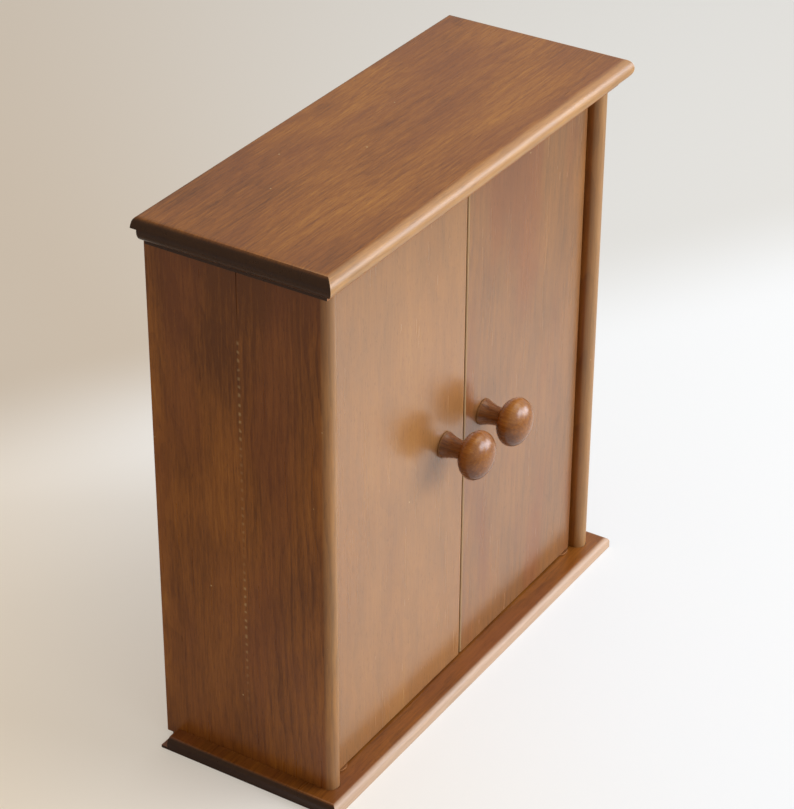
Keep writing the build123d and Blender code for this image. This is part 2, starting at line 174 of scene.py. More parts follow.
class CabinetStudio(bpy.types.PropertyGroup):
    """Floor, lamps and surroundings."""

    floor_radius: length("Floor Radius", "Radius of the pale floor", 14.0)
    softbox_power: power("Softbox", "Power of the main lamp, high in front", 35)
    window_power: power("Window", "Power of the low lamp at the right", 30)
    overhead_power: power("Overhead", "Power of the lamp above", 5)
    fill: FloatProperty(
        name="Shadow Fill", description="How far the camera sees shadows filled",
        default=0.36, min=0, max=1,
    )
    room_dark: colour("Room, Dark Side", "Walls away from the lamps", "a2937e")
    room_bright: colour("Room, Bright Side", "Walls near the lamps", "e6e8ea")
    floor: colour("Floor", "The floor as it lights the cabinet", "ece2d4")
    # As the camera sees it the floor is beige at the left as a painted shade, white at the right
    floor_left_painted_shade: colour("Floor, Left", "As the camera sees it", "fbe6c6")
    floor_right: colour("Floor, Right", "As the camera sees it", "f6f9fb")
    # The far floor and the backdrop are darker at the left as a painted shade
    far_floor_left_painted_shade: colour("Far Floor, Left", "As the camera sees it", "d2c5b4")
    far_right: colour("Far Floor, Right", "As the camera sees it", "e2e2df")
    # What reflections show of the floor is a painted reflection: dark at the left as a painted shade,
    # near white at the right, greyer far off
    painted_reflection_floor_left: colour("Mirrored Floor, Left", "In reflections", "8f7c62")
    painted_reflection_floor_right: colour("Mirrored Floor, Right", "In reflections", "fafaf8")
    painted_reflection_floor_far: colour("Mirrored Floor, Far", "In reflections", "a8a69e")


def connect(tree, node, inputs):
    """Gives a node's sockets, by name or index, each a value, a socket or a node."""
    for key, value in inputs.items():
        socket = node.inputs[key]
        if isinstance(value, bpy.types.Node):
            value = value.outputs[0]
        if isinstance(value, bpy.types.NodeSocket):
            tree.links.new(value, socket)
        else:
            socket.default_value = value


def add(tree, kind, inputs=None, **settings):
    """Adds a node with its settings and what its sockets are given."""
    node = tree.nodes.new(kind)
    for name, value in settings.items():
        setattr(node, name, value)
    connect(tree, node, inputs or {})
    return node


# Sockets of a Mix node when it mixes colours
MIX_FACTOR, MIX_A, MIX_B, MIXED = 0, 6, 7, 2

# For Map Range nodes that ease in and out
SMOOTH = {"interpolation_type": "SMOOTHSTEP"}

# Patterns are drawn in millimetres
MM_IN_METRE = 1000

# The scale at which a Wave node repeats once in a millimetre
WAVE_PER_MM = 0.314

# How a board's grain lies: rows give the directions along the grain, across the face, into it
GRAIN = {
    "top": Matrix(((1, 0, 0), (0, 1, 0), (0, 0, 1))),
    "side": Matrix(((0, 0, 1), (0, 1, 0), (-1, 0, 0))),
    "door": Matrix(((0, 0, 1), (1, 0, 0), (0, 1, 0))),
    "knob": Matrix(((0, 1, 0), (-1, 0, 0), (0, 0, 1))),
}

# Fibres of alder: length and width in mm, weight in the tone. Real ones are finer than the
# last row, which is drawn as coarse as the picture needs to show them.
FIBRES = ((160, 16, 0.24), (60, 3.0, 0.24), (26, 1.3, 0.56), (8, 0.8, 0.56))
COARSE, THIN, FINE = 1, 2, 3

# Alder's noises: size in mm along the grain, across it and into it, detail, roughness and
# shift. Blotches are two or three fingers wide. Real pores are 0.1 mm wide.
ALDER = {
    "blotch": ((46, 26, 26), 2, 0.4, (0, 0, 0)),
    "sway": ((85, 24, 24), 2, 0.5, (0, 0, 0)),
    "band": ((110, 30, 30), 3, 0.5, (7, 3, 5)),
    "pore": ((3.2, 0.42, 0.42), 1, 0.5, (0, 0, 0)),
    "rub": ((14, 2, 2), 3, 0.6, (0, 0, 0)),
}
for row, (long, wide, _) in enumerate(FIBRES):
    ALDER[row] = ((long, wide, wide), 3, 0.55, (wide, 0, 0))

# The same of rotary-cut birch: the wander of its figure, and its fibres
BIRCH = {"sway": ((160, 30, 4), 3, 0.5, (0, 0, 0)), "fibre": ((30, 0.9, 0.9), 3, 0.5, (0, 0, 0))}

# In mm: how far growth rings wander, the pitch of the glue dabs on a seam, the cells of the
# lacquer that hold at most one speck of dust each
RING_SWAY = 16
DAB_PITCH = 4.7
SPECK_CELL = 16


def new_material(name):
    """A material with an empty node tree, and that tree."""
    material = bpy.data.materials.new(name)
    material.use_nodes = True
    material.node_tree.nodes.clear()
    return material, material.node_tree


def layered(tree, paint, coats):
    """Lays coats over a paint: each an amount and a colour, or a socket that gives it."""
    for amount, coat in coats:
        if not isinstance(coat, bpy.types.NodeSocket):
            coat = (*coat, 1)
        inputs = {MIX_FACTOR: amount, MIX_A: paint, MIX_B: coat}
        paint = add(tree, "ShaderNodeMix", inputs, data_type="RGBA").outputs[MIXED]
    return paint


def share(tree, where, axis, start, end):
    """How far a place or a direction goes along an axis, from 0 at the start to 1 at the end."""
    toward = add(tree, "ShaderNodeVectorMath", {0: where, 1: axis}, operation="DOT_PRODUCT")
    limits = {"Value": toward.outputs["Value"], "From Min": start, "From Max": end}
    return add(tree, "ShaderNodeMapRange", limits, **SMOOTH)


def stretched_noises(tree, place, table):
    """The noises of a table, by name: each has a size, detail, roughness and a shift."""
    noises = {}
    for name, (size, detail, roughness, shift) in table.items():
        stretched = {"Vector": place, "Scale": [1 / s for s in size], "Location": shift}
        stretched = add(tree, "ShaderNodeMapping", stretched)
        inputs = {"Vector": stretched, "Scale": 1, "Detail": detail, "Roughness": roughness}
        noises[name] = add(tree, "ShaderNodeTexNoise", inputs)
    return noises


def growth_rings(tree, along, sway, pith, lean, rings):
    """Late wood of the rings round the heart of the tree, swaying along the board."""
    swayed = {0: sway.outputs["Color"], 1: (0, RING_SWAY, RING_SWAY), 2: along}
    swayed = add(tree, "ShaderNodeVectorMath", swayed, operation="MULTIPLY_ADD")
    turn = [radians(a) for a in lean]
    heart = {"Vector": swayed, "Location": [-x for x in pith], "Rotation": turn}
    heart = add(tree, "ShaderNodeMapping", heart)
    ring = {"Scale": WAVE_PER_MM / rings, "Distortion": 0.4, "Detail": 2, "Detail Scale": 3}
    shape = {"wave_type": "RINGS", "rings_direction": "X", "wave_profile": "SAW"}
    ring = add(tree, "ShaderNodeTexWave", {"Vector": heart, **ring}, **shape)
    late = {"Value": ring.outputs["Fac"], "From Min": 0.35, "From Max": 1}
    return add(tree, "ShaderNodeMapRange", late, **SMOOTH)


def glue_dabs(tree, here, seam):
    """Dabs of glue along a side's seam, which kept the stain out."""
    part = add(tree, "ShaderNodeSeparateXYZ", {"Vector": here})
    dab = {"Scale": WAVE_PER_MM / DAB_PITCH, "Distortion": 2.6, "Detail": 2, "Detail Scale": 2.5}
    dab = add(tree, "ShaderNodeTexWave", {"Vector": here, **dab}, bands_direction="Z")
    dab = {"Value": dab.outputs["Fac"], "From Min": 0.55, "From Max": 0.95}
    dab = add(tree, "ShaderNodeMapRange", dab)
    stretch = add(tree, "ShaderNodeTexNoise", {"Vector": here, "Scale": 1 / 34, "Detail": 1})
    off = add(tree, "ShaderNodeMath", {0: part.outputs["Y"], 1: -seam / MM}, operation="ADD")
    off = add(tree, "ShaderNodeMath", {0: off}, operation="ABSOLUTE")

    # Here and there, close to the seam, below its open head and above its foot
    for value, none, full in (
        (stretch, 0.3, 0.6),
        (off, 1.0, 0.3),
        (part.outputs["Z"], 251, 247),
        (part.outputs["Z"], 38, 55),
    ):
        amount = add(tree, "ShaderNodeMapRange", {"Value": value, "From Min": none, "From Max": full})
        dab = add(tree, "ShaderNodeMath", {0: dab, 1: amount}, operation="MULTIPLY")
    return add(tree, "ShaderNodeMath", {0: dab, 1: 0.42}, operation="MULTIPLY")


def dust_specks(tree, here):
    """Specks of dust caught in the lacquer: one in three cells holds one."""
    cells = add(tree, "ShaderNodeTexVoronoi", {"Vector": here, "Scale": 1 / SPECK_CELL})
    speck = {"Value": cells.outputs["Distance"], "From Min": 0.034, "From Max": 0.02}
    speck = add(tree, "ShaderNodeMapRange", speck)
    chance = add(tree, "ShaderNodeSeparateColor", {"Color": cells.outputs["Color"]})
    chosen = {"Value": chance.outputs["Red"], "From Min": 0.66, "From Max": 0.7, "To Max": 0.8}
    chosen = add(tree, "ShaderNodeMapRange", chosen)
    return add(tree, "ShaderNodeMath", {0: speck, 1: chosen}, operation="MULTIPLY")


def stained_alder(
    name, grain, pith, lean, rings=4.0, ring_weight=0.08, bias=0.0, contrast=0.8, blotch=0.5,
    patches=(), plum=0.4, tan=0.0, thin=0.6, wipe_and_highlight_colour="bare", end_dark=1.0, seam=None,
    roughness=0.3, ior=1.5,
):
    """Alder, sawn and sanded, under brown stain and a satin lacquer.

    Fine straight fibres with soft growth rings, blotches where the stain took unevenly, ends
    that drank it dark, edges rubbed to the bare wood, and one even gloss over it all.
    """
    colours = bpy.context.scene.cabinet_colours
    material, tree = new_material(name)
    place = add(tree, "ShaderNodeTexCoord")
    here = {"Vector": place.outputs["Object"], "Scale": (MM_IN_METRE,) * 3}
    here = add(tree, "ShaderNodeMapping", here)
    along = {"Vector": here, "Rotation": GRAIN[grain].to_euler()}
    along = add(tree, "ShaderNodeMapping", along)
    noises = stretched_noises(tree, along, ALDER)
    ring = growth_rings(tree, along, noises["sway"], pith, lean, rings)

    # Tone of the stain: middling, with fibres, blotches and rings that lighten and darken it
    parts = [(noises[row], contrast * weight) for row, (_, _, weight) in enumerate(FIBRES)]
    parts.append((noises["blotch"], blotch))
    tone = 0.5 + bias - sum(weight for _, weight in parts) / 2
    for part, weight in (*parts, (ring, -ring_weight)):
        tone = add(tree, "ShaderNodeMath", {0: part, 1: weight, 2: tone}, operation="MULTIPLY_ADD")

    # Wide patches, darker or lighter: centre, reach and strength. On the upper sides, at the heads of
    # the doors and on the knobs they are painted shade and painted light
    for centre, reach, strength in patches:
        inside = {"Vector": here, "Location": centre, "Scale": reach}
        inside = add(tree, "ShaderNodeMapping", inside, vector_type="TEXTURE")
        far = add(tree, "ShaderNodeVectorMath", {0: inside}, operation="LENGTH")
        close = {"Value": far.outputs["Value"], "From Min": 1, "From Max": 0.1}
        close = add(tree, "ShaderNodeMapRange", close, **SMOOTH)
        tone = add(tree, "ShaderNodeMath", {0: close, 1: strength, 2: tone}, operation="MULTIPLY_ADD")

    stain = add(tree, "ShaderNodeValToRGB", {"Fac": tone})
    ramp = stain.color_ramp.elements
    ramp[0].position, ramp[1].position = 0.12, 0.9
    ramp[0].color, ramp[1].color = (*colours.deep, 1), (*colours.pale, 1)
    ramp.new(0.5).color = (*colours.middle, 1)

    # Reddish cast in wide soft bands, and pores as short dark dashes
    cast = {"Value": noises["band"], "From Min": 0.42, "From Max": 0.66, "To Max": plum}
    cast = add(tree, "ShaderNodeMapRange", cast, **SMOOTH)
    pit = {"Value": noises["pore"], "From Min": 0.63, "From Max": 0.74, "To Max": 0.3}
    pit = add(tree, "ShaderNodeMapRange", pit)

    # Ends of the fibres
    end = {0: place.outputs["Normal"], 1: GRAIN[grain].row[0]}
    end = add(tree, "ShaderNodeVectorMath", end, operation="DOT_PRODUCT")
    end = add(tree, "ShaderNodeMath", {0: end.outputs["Value"]}, operation="ABSOLUTE")
    end = {"Value": end, "From Min": 0.2, "From Max": 0.65, "To Max": 0.92 * end_dark}
    end = add(tree, "ShaderNodeMapRange", end, **SMOOTH)

    # Thin stain on the rounded front edges, where it was wiped off, along the fibres; on the base's
    # front and along the doors' meeting edge it is partly a painted highlight
    wiped = add(tree, "ShaderNodeAttribute", attribute_name="wiped")
    ahead = add(tree, "ShaderNodeSeparateXYZ", {"Vector": place.outputs["Normal"]})
    ahead = {"Value": ahead.outputs["Y"], "From Min": -0.02, "From Max": -0.3, "To Max": thin}
    ahead = add(tree, "ShaderNodeMapRange", ahead, **SMOOTH)
    streaky = {"Value": noises[THIN], "From Min": 0.25, "From Max": 0.75, "To Min": 0.7}
    streaky = add(tree, "ShaderNodeMapRange", streaky)
    wipe_and_painted_highlight = add(tree, "ShaderNodeMath", {0: wiped.outputs["Fac"], 1: ahead}, operation="MULTIPLY")
    wipe_and_painted_highlight = add(tree, "ShaderNodeMath", {0: wipe_and_painted_highlight, 1: streaky}, operation="MULTIPLY")

    # Stain rubbed off along the eased edges
    worn = add(tree, "ShaderNodeAttribute", attribute_name="wear")
    broken = {"Value": noises["rub"], "From Min": 0.35, "From Max": 0.65, "To Min": 0.25}
    broken = add(tree, "ShaderNodeMapRange", broken)
    rubbed = add(tree, "ShaderNodeMath", {0: worn.outputs["Fac"], 1: broken}, operation="MULTIPLY")
    rubbed = add(tree, "ShaderNodeMath", {0: rubbed, 1: 0.7}, operation="MULTIPLY")

    coats = [
        # Thin stain with a painted haze of reflection
        (tan, colours.tan),
        (cast, colours.plum),
        (pit, colours.end),
        (end, colours.end),
        (wipe_and_painted_highlight, getattr(colours, wipe_and_highlight_colour)),
        (rubbed, colours.bare),
        (dust_specks(tree, here), colours.bare),
    ]
    if seam is not None:
        coats.insert(-1, (glue_dabs(tree, here, seam), colours.bare))
    paint = layered(tree, stain.outputs["Color"], coats)

    # The lacquer follows the fibres a little, and is duller where the wood is bare
    satin = {"From Min": 0.3, "From Max": 0.7, "To Min": roughness - 0.03, "To Max": roughness + 0.04}
    satin = add(tree, "ShaderNodeMapRange", {"Value": noises[COARSE], **satin})
    for amount, dulling in ((rubbed, 0.1), (wipe_and_painted_highlight, 0.3)):
        satin = add(tree, "ShaderNodeMath", {0: amount, 1: dulling, 2: satin}, operation="MULTIPLY_ADD")
    relief = add(tree, "ShaderNodeMath", {0: noises[THIN], 1: noises[FINE]}, operation="ADD")
    relief = add(tree, "ShaderNodeMath", {0: pit, 1: -1.0, 2: relief}, operation="MULTIPLY_ADD")
    bump = add(tree, "ShaderNodeBump", {"Height": relief, "Strength": 0.35, "Distance": 0.06 * MM})
    shader = {"Base Color": paint, "Roughness": satin, "Normal": bump, "IOR": ior}
    shader = add(tree, "ShaderNodeBsdfPrincipled", shader)
    add(tree, "ShaderNodeOutputMaterial", {"Surface": shader})
    return material


def knob_painted_shade_and_light():
    """Painted shade and light on the knobs: darker on foot and neck and low on the head, lighter on top
    of it.
    """
    patches = []
    for side in SIDES:
        low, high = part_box(f"{side}_knob")
        x, z = (low.x + high.x) / 2 / MM, (low.z + high.z) / 2 / MM
        front, back = low.y / MM, high.y / MM
        patches.append(((x, back - 3, z), (19, 15, 19), -0.28))
        patches.append(((x - 10, front + 11, z - 9), (16, 15, 16), -0.55))
        patches.append(((x - 3, front + 7, z + 12), (14, 14, 13), 0.16))
    return patches


# Painted shade over the upper third of both boards of a side, which the floor lights less than the lower
# part
SIDE_TOP_PAINTED_SHADE = ((-130, 0, 300), (30, 90, 140), -0.28)

# The boards by finish. Piths and patches are in mm: piths along the grain, across and into
# the board; patches in the cabinet's frame, as centre, reach and strength.
WOODS = {
    "alder_top": dict(
        grain="top", pith=(0, 38, 238), lean=(0, 1.2, 2.5), rings=3.2, ring_weight=0.09,
        bias=0.02, contrast=1.1, blotch=0.45, thin=0.36,
        patches=[((-120, 40, 300), (170, 60, 40), -0.14), ((30, -30, 300), (110, 28, 40), 0.1)],
    ),
    "alder_base": dict(
        grain="top", pith=(0, -70, -50), lean=(0, 1, -1), rings=3.6, bias=-0.14, plum=0.6,
        thin=0.8, wipe_and_highlight_colour="pale_wear_and_painted_highlight",
    ),
    "alder_side_front": dict(
        grain="side", pith=(0, -64, 100), lean=(0, 3.5, 1), rings=4.2, ring_weight=0.14,
        bias=-0.1, thin=0.34, seam=SEAM,
        patches=[((-130, -25, 120), (30, 22, 110), -0.05), SIDE_TOP_PAINTED_SHADE],
    ),
    "alder_side_rear": dict(
        grain="side", pith=(0, 66, 108), lean=(0, -3.5, 1.5), rings=4.4, bias=-0.1, seam=SEAM,
        patches=[((-130, 54, 150), (30, 9, 220), 0.16), SIDE_TOP_PAINTED_SHADE],
    ),
    "alder_door_left": dict(
        grain="door", pith=(0, -40, 60), lean=(0, 1, 1.2), rings=5.5, ring_weight=0.06,
        bias=-0.02, contrast=0.45, blotch=0.35, plum=0.1, tan=0.26, roughness=0.24, ior=1.8,
        # Painted shade: darker toward the head of the door, under the top board
        patches=[((-66, -60, 300), (110, 30, 120), -0.2)],
    ),
    "alder_door_right": dict(
        grain="door", pith=(0, 150, 30), lean=(0, 2, -2), rings=5.5, ring_weight=0.07,
        bias=-0.17, contrast=0.5, blotch=0.35, plum=0.5, tan=0.18, roughness=0.24, ior=1.78,
        # Painted shade: darker toward the head of the door, under the top board
        patches=[((66, -60, 300), (110, 30, 130), -0.3)],
    ),
    "alder_knob": dict(
        grain="knob", pith=(0, 4, 150), lean=(0, 0, 0), rings=2.4, ring_weight=0.07,
        bias=-0.06, contrast=1.1, plum=0.1, end_dark=0.2, roughness=0.26, ior=1.55,
        patches=knob_painted_shade_and_light(),
    ),
    "alder_shelf": dict(
        grain="top", pith=(0, 20, 60), lean=(0, 1, 1), rings=4, plum=0.3, roughness=0.42,
    ),
}


def wood(name):
    """The named wood finish, made the first time it is asked for."""
    return bpy.data.materials.get(name) or stained_alder(name, **WOODS[name])


def birch_plywood():
    """Rotary-cut birch plywood, thinly stained and not lacquered: wide soft figure, matt."""
    colours = bpy.context.scene.cabinet_colours
    material, tree = new_material("birch_plywood")
    place = add(tree, "ShaderNodeTexCoord")
    turn = GRAIN["door"].to_euler()
    here = {"Vector": place.outputs["Object"], "Scale": (MM_IN_METRE,) * 3, "Rotation": turn}
    here = add(tree, "ShaderNodeMapping", here)
    sway, fibre = stretched_noises(tree, here, BIRCH).values()

    # Figure like the lines of a map, and fine fibres
    figure = add(tree, "ShaderNodeMath", {0: sway, 1: 9.0}, operation="MULTIPLY")
    figure = add(tree, "ShaderNodeMath", {0: figure}, operation="FRACT")
    figure = {"Value": figure, "From Min": 0.5, "From Max": 1, "To Max": 0.35}
    figure = add(tree, "ShaderNodeMapRange", figure, **SMOOTH)
    fibres = {"Value": fibre, "From Min": 0.3, "From Max": 0.7, "To Max": 0.5}
    fibres = add(tree, "ShaderNodeMapRange", fibres)

    # Three plies, the middle one across the others and darker at the cut edge
    low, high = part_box("back_panel")
    depth = add(tree, "ShaderNodeSeparateXYZ", {"Vector": here})
    ply = {0: depth.outputs["Z"], 1: -(low.y + high.y) / 2 / MM}
    ply = add(tree, "ShaderNodeMath", ply, operation="ADD")
    ply = add(tree, "ShaderNodeMath", {0: ply}, operation="ABSOLUTE")
    ply = {"Value": ply, "From Min": 0.65, "From Max": 0.55, "To Max": 0.6}
    ply = add(tree, "ShaderNodeMapRange", ply)
    amount = add(tree, "ShaderNodeMath", {0: figure, 1: fibres}, operation="ADD")
    amount = add(tree, "ShaderNodeMath", {0: amount, 1: ply}, operation="ADD", use_clamp=True)
    paint = layered(tree, (*colours.raw, 1), [(amount, colours.raw_dark)])
    bump = add(tree, "ShaderNodeBump", {"Height": fibre, "Strength": 0.5, "Distance": 0.08 * MM})
    rough = add(tree, "ShaderNodeMapRange", {"Value": fibre, "To Min": 0.55, "To Max": 0.7})
    shader = {"Base Color": paint, "Roughness": rough, "Normal": bump}
    shader = add(tree, "ShaderNodeBsdfPrincipled", shader)
    add(tree, "ShaderNodeOutputMaterial", {"Surface": shader})
    return material


def beech():
    """Plain beech, cut on a dowel machine: pale pink-brown with fine short flecks."""
    colours = bpy.context.scene.cabinet_colours
    material, tree = new_material("beech_dowelling")
    place = add(tree, "ShaderNodeTexCoord")
    flecks = (1 / (0.9 * MM), 1 / (0.9 * MM), 1 / (8 * MM))
    here = add(tree, "ShaderNodeMapping", {"Vector": place.outputs["Object"], "Scale": flecks})
    fleck = add(tree, "ShaderNodeTexNoise", {"Vector": here, "Scale": 1, "Detail": 2})
    amount = {"Value": fleck, "From Min": 0.45, "From Max": 0.7, "To Max": 0.5}
    amount = add(tree, "ShaderNodeMapRange", amount)
    paint = layered(tree, (*colours.beech, 1), [(amount, colours.raw_dark)])
    rough = add(tree, "ShaderNodeMapRange", {"Value": fleck, "To Min": 0.55, "To Max": 0.7})
    shader = add(tree, "ShaderNodeBsdfPrincipled", {"Base Color": paint, "Roughness": rough})
    add(tree, "ShaderNodeOutputMaterial", {"Surface": shader})
    return material


# Platings: the property that holds the colour, roughness, and the size of a crystal. Nickel
# on the catch magnets is warm and bright, zinc on strikes, screws, nails and pins is greyer,
# and under the doors, where dust and stain reached it, it has gone dull and brown.
PLATINGS = {
    "nickel_plating": ("nickel", 0.25, 0.9 * MM),
    "zinc_plating": ("zinc", 0.38, 0.6 * MM),
    "tarnished_zinc": ("tarnish", 0.6, 0.6 * MM),
}


def plated(name):
    """Steel with a thin plating: reflections broken by a fine crystalline grit."""
    if name in bpy.data.materials:
        return bpy.data.materials[name]
    colour_name, roughness, crystal = PLATINGS[name]
    tint = getattr(bpy.context.scene.cabinet_colours, colour_name)
    dull = tuple(c * 0.55 for c in tint)
    material, tree = new_material(name)
    place = add(tree, "ShaderNodeTexCoord")
    here = {"Vector": place.outputs["Object"], "Scale": (1 / crystal,) * 3}
    here = add(tree, "ShaderNodeMapping", here)
    grit = add(tree, "ShaderNodeTexNoise", {"Vector": here, "Scale": 1, "Detail": 4})
    shade = {"Value": grit, "From Min": 0.3, "From Max": 0.7, "To Max": 0.3}
    shade = add(tree, "ShaderNodeMapRange", shade)
    rough = {"Value": grit, "To Min": roughness - 0.08, "To Max": roughness + 0.12}
    rough = add(tree, "ShaderNodeMapRange", rough)
    bump = add(tree, "ShaderNodeBump", {"Height": grit, "Strength": 0.3, "Distance": 0.02 * MM})
    paint = layered(tree, (*tint, 1), [(shade, dull)])
    shader = {"Base Color": paint, "Roughness": rough, "Normal": bump, "Metallic": 1.0}
    shader = add(tree, "ShaderNodeBsdfPrincipled", shader)
    add(tree, "ShaderNodeOutputMaterial", {"Surface": shader})
    return material


def finished(piece, material, slot, body, *nodes):
    """Gives a piece in its place its material and its body; its slot is not used."""
    piece.data.materials.clear()
    piece.data.materials.append(material)
    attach(piece, body)
    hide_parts(*nodes)
    return piece


def evaluated_copy(piece):
    """Replaces a piece's mesh by what its modifiers make of it, and takes them off."""
    graph = bpy.context.evaluated_depsgraph_get()
    mesh = bpy.data.meshes.new_from_object(piece.evaluated_get(graph))
    mesh.name = piece.name
    piece.modifiers.clear()
    old, piece.data = piece.data, mesh
    bpy.data.meshes.remove(old)
    return piece


def piece_from(shape, name, crease=CREASE):
    """Makes an object of a bmesh: smooth faces, creased where they meet sharply."""
    shape.normal_update()
    for face in shape.faces:
        face.smooth = True
    for edge in shape.edges:
        edge.smooth = not edge.is_manifold or edge.calc_face_angle() < radians(crease)
    mesh = bpy.data.meshes.new(name)
    shape.to_mesh(mesh)
    shape.free()
    if "custom_normal" in mesh.attributes:
        mesh.attributes.remove(mesh.attributes["custom_normal"])
    piece = bpy.data.objects.new(name, mesh)
    bpy.context.scene.collection.objects.link(piece)
    shading = piece.modifiers.new("Even Shading", "WEIGHTED_NORMAL")
    shading.keep_sharp = True
    shading.weight = 100
    return evaluated_copy(piece)


def eased_board(node, name, ease, wiped=None, keep=None, carve=None):
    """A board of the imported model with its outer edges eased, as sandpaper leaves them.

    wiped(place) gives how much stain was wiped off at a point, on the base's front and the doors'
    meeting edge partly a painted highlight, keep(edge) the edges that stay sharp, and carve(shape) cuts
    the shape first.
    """
    shape = bmesh.new()
    shape.from_mesh(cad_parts[node].data)
    bmesh.ops.remove_doubles(shape, verts=shape.verts, dist=SAME_POINT)
    bmesh.ops.dissolve_limit(shape, angle_limit=radians(FLAT), verts=shape.verts, edges=shape.edges)
    if carve:
        carve(shape)
    shape.normal_update()
    wear = shape.verts.layers.float.new("wear")
    thin = shape.verts.layers.float.new("wiped")
    sharp = [
        edge
        for edge in shape.edges
        if edge.is_manifold
        and edge.is_convex
        and edge.calc_face_angle() > radians(EASED_ANGLE)
        and not (keep and keep(edge))
    ]
    eased = bmesh.ops.bevel(
        shape, geom=sharp, offset=ease, segments=2, profile=0.5, affect="EDGES", clamp_overlap=True
    )
    strips = set(eased["faces"])
    for vertex in shape.verts:
        if all(face in strips for face in vertex.link_faces):
            vertex[wear] = 1.0
        if wiped:
            vertex[thin] = wiped(vertex.co)
    return piece_from(shape, name)


def turned(name, profile, foot, along, steps=ROUND, ring=False, crease=CREASE):
    """A turned piece: its profile of (radius, distance from the foot) about an axis.

    A ring's profile closes on itself; any other starts and ends on the axis.
    """
    shape = bmesh.new()
    along = Vector(along)
    side = along.orthogonal().normalized()
    across = along.cross(side)
    rows = []
    for radius, distance in profile:
        centre = Vector(foot) + along * distance
        angles = [2 * pi * i / steps for i in range(steps if radius else 1)]
        row = [centre + radius * (cos(a) * side + sin(a) * across) for a in angles]
        rows.append([shape.verts.new(place) for place in row])
    for low, high in zip(rows, rows[1:] + rows[: 1 if ring else 0]):
        for i in range(steps):
            j = (i + 1) % steps
            corners = [low[i % len(low)], low[j % len(low)], high[j % len(high)], high[i % len(high)]]
            shape.faces.new(list(dict.fromkeys(corners)))
    bmesh.ops.recalc_face_normals(shape, faces=shape.faces)
    return piece_from(shape, name, crease)


def wiped_off(behind, reach):
    """How much stain was wiped off a rounded front edge, at a distance behind its front; on the base the
    paler front is also a painted highlight.
    """
    return max(0.0, 1 - max(behind, 0) / reach) ** 0.5


def near(value, target, reach):
    """1 at the target, falling to 0 at its reach."""
    return max(0.0, 1 - abs(value - target) / reach)


